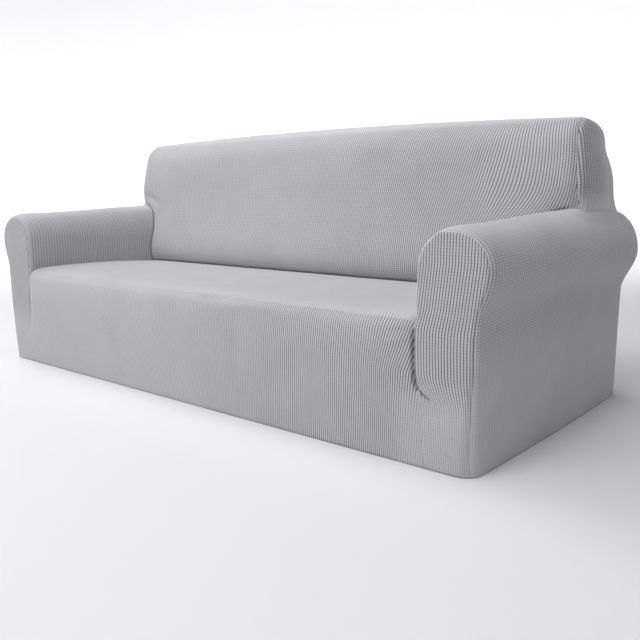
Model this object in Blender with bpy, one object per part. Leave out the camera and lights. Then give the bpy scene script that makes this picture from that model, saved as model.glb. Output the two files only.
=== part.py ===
"""Stretch slipcover for a three-seat sofa with rolled arms, as it sits when it is fitted.

The cover is one hollow skin of knitted cloth. It is laid as grids of points, a grid for each
stretch of cloth, and welded, so neighbours share their edges. Each cut piece then gets its
thickness inwards and is parted from the next one by the width of a seam.

X runs along the sofa, +X at the sitter's left arm; the front faces -Y; Z is up from the floor.
While the skin is laid, Y is counted from the plane of the arm fronts towards the rear.
"""

import math
from collections import namedtuple

import bmesh
import bpy
import numpy as np
from mathutils import Vector

# Driving dimensions, metres
CLOTH = 0.002            # thickness of the knitted cloth
SEAM_GAP = 0.0004        # parting between two pieces, measured along the cloth
DEPTH = 1.014            # arm fronts to the rear corner seams
REAR_BELLY = 0.006       # how far the outside back swells past its corner seams
SIDE_X = 1.056           # centre line to the outer arm at the hem corners
SIDE_BELLY = 0.010       # how far the outer arm's hem bows out between its corners
ARM_INNER_X = 0.891      # centre line to the inner face of an arm
ROLL_CENTRE_X = 0.985    # centre line to the middle of the arm's roll
ROLL_CENTRE_Z = 0.486    # height of the middle of the roll
ROLL_UNDER_Z = 0.355     # height at which the roll's underside meets the flat side
CREST_ANGLE = math.radians(72)   # where on the roll the back end's cloth is sewn on
SEAT_CREASE_Y = 0.568    # arm fronts to the line where seat and back meet
SEAT_CREASE_Z = 0.375
SEAT_EDGE_Z = 0.362      # where the seat turns over its front edge
BACK_CREST_Y = 0.669     # arm fronts to the back's front seam, where it stands on the arm
SKIRT_BULGE = 0.021      # how far the skirt stands before the arm fronts under the seat edge
BACK_CROWN = 0.019       # rise of the back's top from its ends to its middle
BACK_BELLY = 0.010       # how far the inside back swells forward between its ends
ARM_FRONT_BELLY = 0.006  # how far an arm front swells forward inside its arched seam
HEM_RISE = 0.10          # height over which that swell dies out at the hem
CUSHION_DIP = 0.005      # depth of the hollows between the three seat cushions
CUSHION_DIP_X = 0.300    # centre line to such a hollow
CUSHION_DIP_WIDTH = 0.060
SEAT_TURN = 0.10         # how far behind the seat's edge the hollows still pull that edge back
FLOOR_TOUCH = 0.0001     # a point lower than this is on the hem

# Rows of the grids
COLUMNS = 24             # across the seat and the back
EDGE_CROWDING = 0.35     # 0 spaces the columns evenly, 0.5 crowds them at the ends
FOOT_ROWS = 3            # up the inner arm, from the seat to the roll
INNER_ROLL_ROWS = 6      # over the roll, as far as its crest
OUTER_ROLL_ROWS = 5      # from the crest to the roll's widest point
UNDER_ROWS = 4           # the roll's underside
SIDE_ROWS = 5            # down the flat side to the hem
CREST_ROW = FOOT_ROWS + INNER_ROLL_ROWS
REACH_ROW = CREST_ROW + OUTER_ROLL_ROWS
SIDE_ROW = REACH_ROW + UNDER_ROWS
HEM_ROW = SIDE_ROW + SIDE_ROWS

Knot = namedtuple("Knot", "at value")
Point = namedtuple("Point", "x y z")
Dart = namedtuple("Dart", "z y shift")
SeatEnd = namedtuple("SeatEnd", "width drop")

# Along an arm, from its front to the back cushion and on to the rear corner
ARM_STATIONS = (0.0, 0.012, 0.035, 0.08, 0.16, 0.26, 0.37, 0.48, 0.58, BACK_CREST_Y)
END_STATIONS = (0.71, 0.76, 0.82, 0.89, 0.955, DEPTH)
STATIONS = ARM_STATIONS + END_STATIONS
BACK_STATION = len(ARM_STATIONS) - 1
LAST_STATION = len(STATIONS) - 1

ROLL_TOP = (Knot(0.0, 0.580), Knot(0.035, 0.588), Knot(0.16, 0.592),
            Knot(BACK_CREST_Y, 0.618), Knot(DEPTH, 0.607))
ROLL_REACH = (Knot(0.0, 1.087), Knot(0.035, 1.092), Knot(BACK_CREST_Y, 1.096), Knot(DEPTH, 1.103))
SEAT_HEIGHT = (Knot(0.0, SEAT_EDGE_Z), Knot(0.010, 0.370), Knot(0.030, 0.377), Knot(0.068, 0.381),
               Knot(0.22, 0.385), Knot(0.36, 0.385), Knot(SEAT_CREASE_Y, SEAT_CREASE_Z))
BACK_FACE = (Knot(SEAT_CREASE_Z, SEAT_CREASE_Y), Knot(0.45, 0.590), Knot(0.55, 0.617),
             Knot(0.645, 0.638), Knot(0.78, 0.655), Knot(0.84, 0.666), Knot(0.88, 0.686),
             Knot(0.91, 0.715))

# Down the skirt: the middle of the front, and the dart at each end of the seat
SKIRT = (Knot(SEAT_EDGE_Z, 0.0), Knot(0.340, -0.013), Knot(0.305, -0.019),
         Knot(0.265, -SKIRT_BULGE), Knot(0.225, -0.019), Knot(0.185, -0.015),
         Knot(0.145, -0.011), Knot(0.100, -0.007), Knot(0.050, -0.003), Knot(0.0, 0.0))
DARTS = (Dart(SEAT_EDGE_Z, 0.0, 0.0), Dart(0.340, 0.005, 0.0), Dart(0.305, 0.007, 0.001),
         Dart(0.265, 0.007, 0.002), Dart(0.225, 0.006, 0.006), Dart(0.185, 0.003, 0.018),
         Dart(0.145, -0.001, 0.030), Dart(0.100, -0.002, 0.034), Dart(0.050, -0.001, 0.036),
         Dart(0.0, 0.0, 0.036))
DART_SHIFT = {1: 1.0, -1: 0.45}   # the dart on the +X side hooks outwards the more

# Each end of the seat rolls down towards its arm, the one at -X the more
SEAT_ENDS = {1: SeatEnd(0.030, 0.004), -1: SeatEnd(0.070, 0.018)}
SEAT_END_FADE = 0.120    # depth below the seat's edge over which the skirt evens this out
SKIRT_ROWS = len(SKIRT) - 1

# Up the back's end: its front seam and its rear seam, from the arm's crest to the top
FRONT_SEAM = (Point(1.025, 0.650, 0.645), Point(1.026, 0.645, 0.690), Point(1.021, 0.650, 0.740),
              Point(1.016, 0.657, 0.790), Point(1.013, 0.666, 0.835), Point(1.010, 0.682, 0.868),
              Point(1.003, 0.706, 0.887))
REAR_SEAM = (Point(1.020, 1.015, 0.634), Point(1.012, 1.016, 0.665), Point(1.007, 1.016, 0.710),
             Point(0.997, 1.015, 0.752), Point(0.977, 1.011, 0.788), Point(0.966, 1.003, 0.821),
             Point(0.955, 0.985, 0.850))
TOP_SEAM = (Point(0.998, 0.750, 0.891), Point(0.991, 0.800, 0.890), Point(0.984, 0.850, 0.885),
            Point(0.975, 0.900, 0.877), Point(0.966, 0.945, 0.866), REAR_SEAM[-1])
REAR_CREST = Point(1.030, DEPTH, 0.613)
END_ROWS = len(FRONT_SEAM)
TOP_ROWS = len(TOP_SEAM)

ARM_FRONT_COLUMNS = (0.0, 0.10, 0.32, 0.60, 0.88, 1.0)
APEX_ROW = (HEM_ROW - SKIRT_ROWS) // 2    # the row at the top of the arm front

# Powers that shape a swell between its two ends: the higher, the flatter in the middle
FULL_WIDTH = 30          # flat up to the last column
BELLY_POWER = 12
CROWN_POWER = 2.2
ARM_BELLY_POWER = 0.6

# The cut pieces, in the order of their numbers on the skin
PIECES = ("seat_skirt_and_arm_fronts", "arm_right", "arm_left", "inside_back",
          "back_end_right", "back_end_left", "outside_back")
CLOTH_GREY = (0.42, 0.425, 0.45, 1.0)
ROUGHNESS = 0.9
WELD = 0.0001            # points closer than this are one
FLAT_SHARE = 0.15        # faces at a point that differ less than this count as flat there
SEAM_TURN = 0.5          # a seam's two directions into the cloth cancel below this length
SHARP_ANGLE = math.radians(50)


def along(knots, at):
    """The value at one place on a smooth curve through the knots, whose places ascend."""
    last = len(knots) - 1
    k = 0
    while k < last - 1 and at > knots[k + 1].at:
        k += 1
    a, b = knots[k], knots[k + 1]
    before, after = knots[max(k - 1, 0)], knots[min(k + 2, last)]
    span = b.at - a.at
    t = min(max((at - a.at) / span, 0.0), 1.0)
    slope_a = (b.value - before.value) / (b.at - before.at) * span
    slope_b = (after.value - a.value) / (after.at - a.at) * span
    return ((2 * t**3 - 3 * t**2 + 1) * a.value + (t**3 - 2 * t**2 + t) * slope_a
            + (3 * t**2 - 2 * t**3) * b.value + (t**3 - t**2) * slope_b)


def mix(a, b, share):
    return a + (b - a) * share


def column_place(column):
    """A column's place across the cloth, from -1 to 1, crowded towards both ends."""
    u = 2.0 * column / COLUMNS - 1.0
    return u * (1.0 + EDGE_CROWDING * (1.0 - u * u))


def inward(c, power):
    """A share that is 1 in the middle of the cloth and falls to 0 at its ends, c = -1 and 1."""
    return 1.0 - abs(c) ** power


def cushion_dip(x):
    """Depth of the hollows between the cushions, at x."""
    return sum(math.exp(-((x - side * CUSHION_DIP_X) / CUSHION_DIP_WIDTH) ** 2)
               for side in (-1, 1)) * CUSHION_DIP


def end_drop(c):
    """How far the seat has rolled down at a place across it, from -1 to 1."""
    end = SEAT_ENDS[1 if c > 0 else -1]
    turn = max((abs(c) - 1.0) * ARM_INNER_X / end.width + 1.0, 0.0)
    return end.drop * (1.0 - math.sqrt(max(1.0 - turn * turn, 0.0)))


def seat_edge(station, side):
    """Where the seat meets the inner arm at a station along the arm."""
    y = STATIONS[station] * SEAT_CREASE_Y / BACK_CREST_Y
    return Vector((ARM_INNER_X, y, along(SEAT_HEIGHT, y) - end_drop(side)))


def arm_section(row, y):
    """One point of the arm's section, and how far back its inner side reaches."""
    top = along(ROLL_TOP, y)
    reach = along(ROLL_REACH, y)
    side = SIDE_X + SIDE_BELLY * math.sqrt(max(math.sin(math.pi * y / DEPTH), 0.0))
    if row <= CREST_ROW:
        turn = max(row - FOOT_ROWS, 0) / INNER_ROLL_ROWS
        angle = mix(math.pi, CREST_ANGLE, turn)
    else:
        angle = CREST_ANGLE * max(REACH_ROW - row, 0) / OUTER_ROLL_ROWS
    radius = ROLL_CENTRE_X - ARM_INNER_X if angle > math.pi / 2 else reach - ROLL_CENTRE_X
    x = ROLL_CENTRE_X + radius * math.cos(angle)
    z = ROLL_CENTRE_Z + (top - ROLL_CENTRE_Z) * math.sin(angle)
    if row > REACH_ROW:
        down = min((row - REACH_ROW) / UNDER_ROWS, 1.0)
        x = mix(side, reach, 0.5 + 0.5 * math.cos(math.pi * down))
        z = mix(ROLL_CENTRE_Z, ROLL_UNDER_Z, down)
    if row > SIDE_ROW:
        z = ROLL_UNDER_Z * (HEM_ROW - row) / SIDE_ROWS
    return x, z


def arm_point(row, station, side=1):
    """A point of an arm's cloth: rows go over the arm, stations go along it."""
    y = STATIONS[station]
    x, z = arm_section(row, y)
    if row >= CREST_ROW:
        if station > BACK_STATION and row < REACH_ROW:
            web = ((station - BACK_STATION) / (LAST_STATION - BACK_STATION)) ** 2
            web *= (REACH_ROW - row) / OUTER_ROLL_ROWS
            crest_x, crest_z = arm_section(CREST_ROW, y)
            x += (REAR_CREST.x - crest_x) * web
            z += (REAR_CREST.z - crest_z) * web
        return Vector((x, y, z))
    edge = seat_edge(station, side)
    if row < FOOT_ROWS:
        z = mix(edge.z, ROLL_CENTRE_Z, row / FOOT_ROWS)
        rear_y = along(BACK_FACE, mix(SEAT_CREASE_Z, ROLL_CENTRE_Z, row / FOOT_ROWS))
    else:
        rear_y = mix(along(BACK_FACE, z), BACK_CREST_Y, ((row - FOOT_ROWS) / INNER_ROLL_ROWS) ** 2)
    return Vector((x, y * rear_y / BACK_CREST_Y, z))


def skirt_point(column, row):
    """A point of the front skirt, from the seat edge (row 0) down to the hem."""
    c = column_place(column)
    middle, dart = SKIRT[row], DARTS[row]
    side = 1 if c > 0 else -1
    x = c * (ARM_INNER_X + dart.shift * DART_SHIFT[side])
    dip = cushion_dip(x) * (middle.at / SEAT_EDGE_Z) ** 3
    z = middle.at - end_drop(c) * max(1.0 - (SEAT_EDGE_Z - middle.at) / SEAT_END_FADE, 0.0)
    return Vector((x, mix(dart.y, middle.value + dip, inward(c, FULL_WIDTH)), z))


def seat_point(column, station):
    """A point of the seat, from its front edge (station 0) back to the crease."""
    if station == 0:
        return skirt_point(column, 0)
    c = column_place(column)
    x = c * ARM_INNER_X
    y = STATIONS[station] * SEAT_CREASE_Y / BACK_CREST_Y
    dip = cushion_dip(x) * inward(c, FULL_WIDTH)
    back = dip * max(1.0 - y / SEAT_TURN, 0.0)
    down = dip * math.sqrt(max(math.sin(math.pi * y / SEAT_CREASE_Y), 0.0)) + end_drop(c)
    return Vector((x, y + back, along(SEAT_HEIGHT, y) - down))


def front_seam(row, side=1):
    """The side edge of the inside back: up the arm, up the end's front seam, over the top."""
    if row <= CREST_ROW:
        return arm_point(row, BACK_STATION, side)
    if row <= CREST_ROW + END_ROWS:
        return Vector(FRONT_SEAM[row - CREST_ROW - 1])
    return Vector(TOP_SEAM[row - CREST_ROW - END_ROWS - 1])


def rear_seam(row):
    """The side edge of the outside back, from the hem (row 0) up to the top."""
    arm_rows = HEM_ROW - CREST_ROW
    if row <= arm_rows:
        return arm_point(HEM_ROW - row, LAST_STATION)
    return Vector(REAR_SEAM[row - arm_rows - 1])


def inside_back_point(column, row):
    """A point of the inside back, from the crease (row 0) up its face and over the top."""
    if row == 0:
        return seat_point(column, BACK_STATION)
    c = column_place(column)
    edge = front_seam(row, 1 if c > 0 else -1)
    face_rows = CREST_ROW + END_ROWS
    crown = BACK_CROWN * inward(c, CROWN_POWER)
    if row > face_rows:
        return Vector((c * edge.x, edge.y, edge.z + crown))
    up = row / face_rows
    middle_z = mix(SEAT_CREASE_Z, FRONT_SEAM[-1].z, up)
    middle_y = along(BACK_FACE, middle_z + BACK_CROWN * up) - BACK_BELLY * math.sin(math.pi * up)
    flat = inward(c, FULL_WIDTH)
    end_z = edge.z + (crown * up if row > CREST_ROW else 0.0)
    return Vector((c * edge.x, mix(edge.y, middle_y, flat), mix(end_z, middle_z + crown * up, flat)))


def outside_back_point(column, row):
    """A point of the outside back, from the hem (row 0) up to the top."""
    c = column_place(column)
    edge = rear_seam(row)
    arm_rows = HEM_ROW - CREST_ROW
    risen = max(row - arm_rows, 0) / END_ROWS
    crown = BACK_CROWN * inward(c, CROWN_POWER) * risen
    belly = REAR_BELLY * inward(c, BELLY_POWER) if risen < 1.0 else 0.0
    return Vector((c * edge.x, edge.y + belly, edge.z + crown))


def back_end_point(station, row):
    """A point of the back's end, which fills in between its four seams."""
    r = (station - BACK_STATION) / TOP_ROWS
    w = row / END_ROWS
    bottom = arm_point(CREST_ROW, station)
    top = front_seam(CREST_ROW + END_ROWS + station - BACK_STATION)
    front = front_seam(CREST_ROW + row)
    rear_crest = HEM_ROW - CREST_ROW
    rear = rear_seam(rear_crest + row)
    low_corners = front_seam(CREST_ROW).lerp(rear_seam(rear_crest), r)
    high_corners = front_seam(CREST_ROW + END_ROWS).lerp(rear_seam(rear_crest + END_ROWS), r)
    return bottom.lerp(top, w) + front.lerp(rear, r) - low_corners.lerp(high_corners, w)


def arm_front_edge(side):
    """The inner and the outer edge of an arm front, both from the apex down to the hem."""
    column = COLUMNS if side > 0 else 0
    inner = [arm_point(row, 0, side) for row in range(APEX_ROW, -1, -1)]
    for row in range(1, SKIRT_ROWS + 1):
        point = skirt_point(column, row)
        inner.append(Vector((abs(point.x), point.y, point.z)))
    outer = [arm_point(row, 0) for row in range(APEX_ROW, HEM_ROW + 1)]
    return inner, outer


def arm_front_point(column, rung, inner, outer):
    """A point of an arm front, from its inner edge to its outer edge; rung 0 is the apex."""
    share = ARM_FRONT_COLUMNS[column]
    point = inner[rung].lerp(outer[rung], share)
    swell = max(math.sin(math.pi * share), 0.0) ** ARM_BELLY_POWER
    if rung:
        point.y -= ARM_FRONT_BELLY * swell * min(point.z / HEM_RISE, 1.0)
    return point


def lay_cloth(skin, piece, columns, rows, place, side=1):
    """Lay a grid over a stretch of cloth. Each of its points is moved to place(column, row)."""
    made = bmesh.ops.create_grid(skin, x_segments=columns, y_segments=rows, size=1.0)
    for vert in made["verts"]:
        column = round((vert.co.x + 1.0) / 2.0 * columns)
        row = round((vert.co.y + 1.0) / 2.0 * rows)
        point = place(column, row)
        vert.co = Vector((point.x * side, point.y, point.z))
    for face in {face for vert in made["verts"] for face in vert.link_faces}:
        face.material_index = PIECES.index(piece)


def lay_skin():
    """The whole cover as one welded skin. A face's material number is its cut piece."""
    skin = bmesh.new()
    front = PIECES[0]
    lay_cloth(skin, front, COLUMNS, BACK_STATION, seat_point)
    lay_cloth(skin, front, COLUMNS, SKIRT_ROWS, skirt_point)
    lay_cloth(skin, "inside_back", COLUMNS, CREST_ROW + END_ROWS + TOP_ROWS, inside_back_point)
    lay_cloth(skin, "outside_back", COLUMNS, HEM_ROW - CREST_ROW + END_ROWS, outside_back_point)
    for side, name in ((1, "right"), (-1, "left")):
        arm = "arm_" + name
        inner, outer = arm_front_edge(side)
        lay_cloth(skin, front, len(ARM_FRONT_COLUMNS) - 1, len(inner) - 1,
                  lambda column, rung: arm_front_point(column, rung, inner, outer), side)
        lay_cloth(skin, arm, HEM_ROW, BACK_STATION,
                  lambda row, station: arm_point(row, station, side), side)
        lay_cloth(skin, arm, HEM_ROW - CREST_ROW, TOP_ROWS,
                  lambda row, step: arm_point(CREST_ROW + row, BACK_STATION + step), side)
        lay_cloth(skin, "back_end_" + name, TOP_ROWS, END_ROWS,
                  lambda step, row: back_end_point(BACK_STATION + step, row), side)
    bmesh.ops.remove_doubles(skin, verts=skin.verts, dist=WELD)
    bmesh.ops.triangulate(skin, faces=skin.faces, quad_method="SHORT_EDGE")
    bmesh.ops.recalc_face_normals(skin, faces=skin.faces)
    if max(skin.faces, key=lambda face: face.calc_center_median().z).normal.z < 0:
        bmesh.ops.reverse_faces(skin, faces=skin.faces)
    places = [vert.co.y for vert in skin.verts]
    middle = (min(places) + max(places)) / 2.0
    bmesh.ops.translate(skin, verts=skin.verts, vec=(0.0, -middle, 0.0))
    skin.normal_update()
    return skin


def wall_direction(vert):
    """From a point of the skin to its place on the cloth's inner side, CLOTH behind each face."""
    normals = [face.normal for face in vert.link_faces]
    depths = [-CLOTH] * len(normals)
    if vert.co.z < FLOOR_TOUCH:   # the hem stays level
        normals.append(Vector((0.0, 0.0, 1.0)))
        depths.append(0.0)
    way = np.linalg.lstsq(np.array(normals), np.array(depths), rcond=FLAT_SHARE)[0]
    return Vector(way)


def seam_inset(vert, faces):
    """How far a piece's edge point moves into its own cloth, to part it from the next piece."""
    ways = []
    for edge in vert.link_edges:
        own = [face for face in edge.link_faces if face in faces]
        if len(own) == 1 and len(edge.link_faces) == 2:
            direction = (edge.verts[1].co - edge.verts[0].co).normalized()
            across = own[0].normal.cross(direction)
            if across.dot(own[0].calc_center_median() - vert.co) < 0:
                across.negate()
            ways.append(across)
    if not ways:
        return Vector()
    total = sum(ways, Vector())
    if total.length < SEAM_TURN:   # the seam turns around the next piece: move away from that
        for face in vert.link_faces:
            if face not in faces:
                total += vert.co - face.calc_center_median()
        total.normalize()
    elif len(ways) > 1:
        total /= 1.0 + ways[0].dot(ways[1])
    return total * SEAM_GAP / 2.0


def cut_piece(skin, number, name):
    """One cut piece of cloth: its outer side, its inner side and the wall around its edge."""
    faces = {face for face in skin.faces if face.material_index == number}
    verts = {vert for face in faces for vert in face.verts}
    cloth = bmesh.new()
    outer, inner = {}, {}
    for vert in sorted(verts, key=lambda v: v.index):
        place = vert.co + seam_inset(vert, faces)
        if vert.co.z < FLOOR_TOUCH:
            place.z = 0.0
        outer[vert] = cloth.verts.new(place)
        inner[vert] = cloth.verts.new(place + wall_direction(vert))
    for face in sorted(faces, key=lambda f: f.index):
        cloth.faces.new([outer[vert] for vert in face.verts])
        cloth.faces.new([inner[vert] for vert in reversed(face.verts)])
        for loop in face.loops:
            if sum(other in faces for other in loop.edge.link_faces) == 1:
                a, b = loop.vert, loop.link_loop_next.vert
                if a.index < b.index:   # both pieces at a seam split its wall the same way
                    cloth.faces.new((outer[a], inner[b], outer[b]))
                    cloth.faces.new((outer[a], inner[a], inner[b]))
                else:
                    cloth.faces.new((outer[b], outer[a], inner[a]))
                    cloth.faces.new((outer[b], inner[a], inner[b]))
    mesh = bpy.data.meshes.new(name)
    cloth.to_mesh(mesh)
    cloth.free()
    mesh.shade_smooth()
    mesh.set_sharp_from_angle(angle=SHARP_ANGLE)
    obj = bpy.data.objects.new(name, mesh)
    bpy.context.scene.collection.objects.link(obj)
    return obj


def knit_material(name):
    material = bpy.data.materials.new(name)
    material.use_nodes = True
    shader = material.node_tree.nodes["Principled BSDF"]
    shader.inputs["Base Color"].default_value = CLOTH_GREY
    shader.inputs["Roughness"].default_value = ROUGHNESS
    shader.inputs["Metallic"].default_value = 0.0
    return material


def main():
    for obj in list(bpy.data.objects):
        bpy.data.objects.remove(obj)
    skin = lay_skin()
    skin.verts.index_update()
    skin.faces.index_update()
    for number, name in enumerate(PIECES):
        piece = cut_piece(skin, number, name)
        piece.data.materials.append(knit_material(name + "_knit"))
    skin.free()


main()
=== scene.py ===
"""Dressed model of a stretch slipcover for a three-seat sofa, laid out as a Blender add-on.

The cloth is laid as grids of points over the shape of the solids, welded to one skin, drawn in
along its seams and creased by listed folds. Each cut piece is then its own sheet of knit.

While the skin is laid, Y is counted from the plane of the arm fronts towards the rear.
"""
import math
from collections import namedtuple

import bmesh
import bpy
import numpy as np
from mathutils import Matrix, Vector, kdtree, noise


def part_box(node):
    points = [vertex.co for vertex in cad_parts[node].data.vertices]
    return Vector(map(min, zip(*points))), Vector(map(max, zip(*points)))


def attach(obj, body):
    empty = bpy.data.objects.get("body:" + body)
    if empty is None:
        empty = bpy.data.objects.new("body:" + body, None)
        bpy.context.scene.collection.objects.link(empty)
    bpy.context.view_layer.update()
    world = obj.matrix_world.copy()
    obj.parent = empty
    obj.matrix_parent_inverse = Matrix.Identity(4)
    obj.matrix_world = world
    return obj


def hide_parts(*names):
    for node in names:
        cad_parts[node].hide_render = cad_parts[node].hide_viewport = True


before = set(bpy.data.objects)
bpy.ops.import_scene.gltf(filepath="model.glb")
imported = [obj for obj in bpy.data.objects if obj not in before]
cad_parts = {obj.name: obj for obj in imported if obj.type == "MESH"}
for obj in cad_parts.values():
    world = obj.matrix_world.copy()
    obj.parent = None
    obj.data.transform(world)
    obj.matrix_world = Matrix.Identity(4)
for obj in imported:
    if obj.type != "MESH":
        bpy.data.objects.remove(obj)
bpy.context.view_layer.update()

bl_info = {
    "name": "Stretch Slipcover",
    "version": (1, 0, 0),
    "blender": (4, 5, 0),
    "location": "3D View > Sidebar > Slipcover",
    "description": "Lays the knitted cover of a three-seat sofa over its solids",
    "category": "Add Mesh",
}

FRONT_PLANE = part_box("arm_right")[0].y    # the plane of the arm fronts, from the solids

# ---------------------------------------------------------------- sizes of the laid cloth, metres
DEPTH = 1.014
REAR_BELLY = 0.006
SIDE_X = 1.056
SIDE_BELLY = 0.010
ARM_INNER_X = 0.891
ROLL_CENTRE_X = 0.985
ROLL_CENTRE_Z = 0.486
ROLL_UNDER_Z = 0.355
CREST_ANGLE = math.radians(72)
SEAT_CREASE_Y = 0.606
SEAT_CREASE_Z = 0.375
SEAT_EDGE_Z = 0.362
BACK_CREST_Y = 0.669
SKIRT_BULGE = 0.021
BACK_CROWN = 0.019
BACK_BELLY = 0.010
ARM_FRONT_BELLY = 0.006
HEM_RISE = 0.10
CUSHION_DIP = 0.005
CUSHION_DIP_X = 0.300
CUSHION_DIP_WIDTH = 0.060
SEAT_TURN = 0.10
FLOOR_TOUCH = 0.0001

# Rows of the grids; each is divided into FINE steps
FINE = 8
COLUMNS = 24
COLUMN_FINE = 10
FRONT_FINE = 3
EDGE_CROWDING = 0.35
FOOT_ROWS = 3
INNER_ROLL_ROWS = 6
OUTER_ROLL_ROWS = 5
UNDER_ROWS = 4
SIDE_ROWS = 6
CREST_ROW = FOOT_ROWS + INNER_ROLL_ROWS
REACH_ROW = CREST_ROW + OUTER_ROLL_ROWS
SIDE_ROW = REACH_ROW + UNDER_ROWS
HEM_ROW = SIDE_ROW + SIDE_ROWS

Knot = namedtuple("Knot", "at value")
Point = namedtuple("Point", "x y z")
Dart = namedtuple("Dart", "z y shift")
SeatEnd = namedtuple("SeatEnd", "width drop")

ARM_STATIONS = (0.0, 0.012, 0.035, 0.08, 0.16, 0.26, 0.37, 0.48, 0.58, BACK_CREST_Y)
END_STATIONS = (0.71, 0.76, 0.82, 0.89, 0.955, DEPTH)
STATIONS = ARM_STATIONS + END_STATIONS
BACK_STATION = len(ARM_STATIONS) - 1
LAST_STATION = len(STATIONS) - 1

ROLL_TOP = (Knot(0.0, 0.580), Knot(0.035, 0.588), Knot(0.16, 0.592),
            Knot(BACK_CREST_Y, 0.618), Knot(DEPTH, 0.607))
ROLL_REACH = (Knot(0.0, 1.087), Knot(0.035, 1.092), Knot(BACK_CREST_Y, 1.096), Knot(DEPTH, 1.103))
SEAT_HEIGHT = (Knot(0.0, SEAT_EDGE_Z), Knot(0.010, 0.370), Knot(0.030, 0.377), Knot(0.068, 0.381),
               Knot(0.22, 0.385), Knot(0.36, 0.385), Knot(SEAT_CREASE_Y, SEAT_CREASE_Z))
BACK_FACE = (Knot(SEAT_CREASE_Z, SEAT_CREASE_Y), Knot(0.395, 0.594), Knot(0.425, 0.588),
             Knot(0.47, 0.595), Knot(0.55, 0.617), Knot(0.645, 0.638), Knot(0.78, 0.655),
             Knot(0.84, 0.666), Knot(0.88, 0.686), Knot(0.91, 0.715))
SKIRT = (Knot(0.0, 0.0), Knot(0.050, -0.003), Knot(0.100, -0.007), Knot(0.145, -0.011),
         Knot(0.185, -0.015), Knot(0.225, -0.019), Knot(0.265, -SKIRT_BULGE),
         Knot(0.305, -0.019), Knot(0.340, -0.013), Knot(SEAT_EDGE_Z, 0.0))
DARTS = (Dart(SEAT_EDGE_Z, 0.0, 0.0), Dart(0.340, -0.002, 0.0), Dart(0.305, -0.003, 0.001),
         Dart(0.265, -0.003, 0.002), Dart(0.225, -0.003, 0.006), Dart(0.200, -0.003, 0.0135),
         Dart(0.178, -0.003, 0.0205), Dart(0.152, -0.003, 0.0275), Dart(0.115, -0.002, 0.033),
         Dart(0.065, -0.001, 0.036), Dart(0.0, 0.0, 0.036))
DART_SHIFT = {1: 1.0, -1: 0.45}
SEAT_ENDS = {1: SeatEnd(0.030, 0.004), -1: SeatEnd(0.045, 0.010)}
SEAT_END_FADE = 0.120
SKIRT_ROWS = len(DARTS) - 1

FRONT_SEAM = (Point(1.025, 0.650, 0.645), Point(1.026, 0.645, 0.690), Point(1.021, 0.650, 0.740),
              Point(1.016, 0.657, 0.790), Point(1.013, 0.666, 0.835), Point(1.010, 0.682, 0.868),
              Point(1.003, 0.706, 0.887))
REAR_SEAM = (Point(1.020, 1.015, 0.634), Point(1.012, 1.016, 0.665), Point(1.007, 1.016, 0.710),
             Point(0.997, 1.015, 0.752), Point(0.980, 1.011, 0.788), Point(0.976, 1.003, 0.821),
             Point(0.974, 0.985, 0.850))
TOP_SEAM = (Point(0.998, 0.750, 0.891), Point(0.994, 0.800, 0.890), Point(0.991, 0.850, 0.886),
            Point(0.988, 0.900, 0.879), Point(0.984, 0.945, 0.868), REAR_SEAM[-1])
REAR_CREST = Point(1.030, DEPTH, 0.613)
END_ROWS = len(FRONT_SEAM)
TOP_ROWS = len(TOP_SEAM)
FACE_ROWS = CREST_ROW + END_ROWS
ARM_FRONT_COLUMNS = (0.0, 0.03, 0.07, 0.12, 0.18, 0.25, 0.34, 0.46, 0.60, 0.75, 0.88, 0.96, 1.0)
APEX_ROW = (HEM_ROW - SKIRT_ROWS) // 2

# Powers: the higher, the nearer to its edge a piece keeps its full shape
FULL_WIDTH = 110
SKIRT_FULL_WIDTH = {1: 26, -1: 40}
BACK_FULL_WIDTH = 30
BELLY_POWER = 12
CROWN_POWER = 2.2
ARM_BELLY_POWER = 0.6
DART_POWER = 7           # how fast an arm front levels out beside its dart
END_SWELL = 0.022        # how far the ends of the back swell out
END_SWELL_EARLY = 0.70   # below 1, the swell lies nearer to the front

# ---------------------------------------------------------------- the knit, metres a stitch
DOT_PITCH = 0.0074       # along the ribs
RIB_PITCH = 0.0085       # across them, on the back
SKIRT_RIB_PITCH = 0.0071
ARM_RIB_PITCH = 0.0118   # the arms stretch the cloth most
END_RIB_PITCH = 0.0145
ARM_ROWS_RISE = 0.07     # how much the rows on the outer arm rise towards the rear
ARM_FRONT_PITCH = 0.0081
ARM_FRONT_FOOT_PITCH = 0.0063
ARM_FRONT_TOP_PITCH = 0.0077

# A ramp: where it begins, and the length over which it rises from 0 to 1
Ramp = namedtuple("Ramp", "start length")
# Leaning ribs: how far they lean for a metre of height, and the ramp across the cloth
Lean = namedtuple("Lean", "share across")
SKIRT_LEAN = Lean(0.075, Ramp(0.0, 0.30))
SKIRT_LEAN_TOP = 0.30
DART_LEAN = Lean(0.27, Ramp(0.73, 0.15))
DART_LEAN_TOP = 0.29
DART_LEAN_FOOT = 0.235
BACK_LEAN = Lean(0.22, Ramp(0.0, 0.62))
BACK_LEAN_FOOT = 0.57
BACK_LEAN_TOP = 0.90
BACK_UPRIGHT = 0.74      # where the back's ribs stand upright
CORNER_LEAN = Lean(-0.075, Ramp(0.68, 0.28))
CORNER_LEAN_TURN = 0.17
BACK_FOOT_LEAN = Lean(3.0, Ramp(0.66, 0.28))
BACK_FOOT_TOP = 0.70
ARM_FRONT_FOOT = Ramp(0.15, 0.09)
ARM_FRONT_TOP = Ramp(0.34, 0.06)
ARM_FRONT_SLANT = 0.11
ARM_FRONT_SLANT_HEIGHT = 0.16
ARM_FRONT_FOOT_SLANT = 0.05
ARM_FRONT_FOOT_SLANT_TOP = 0.30

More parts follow.
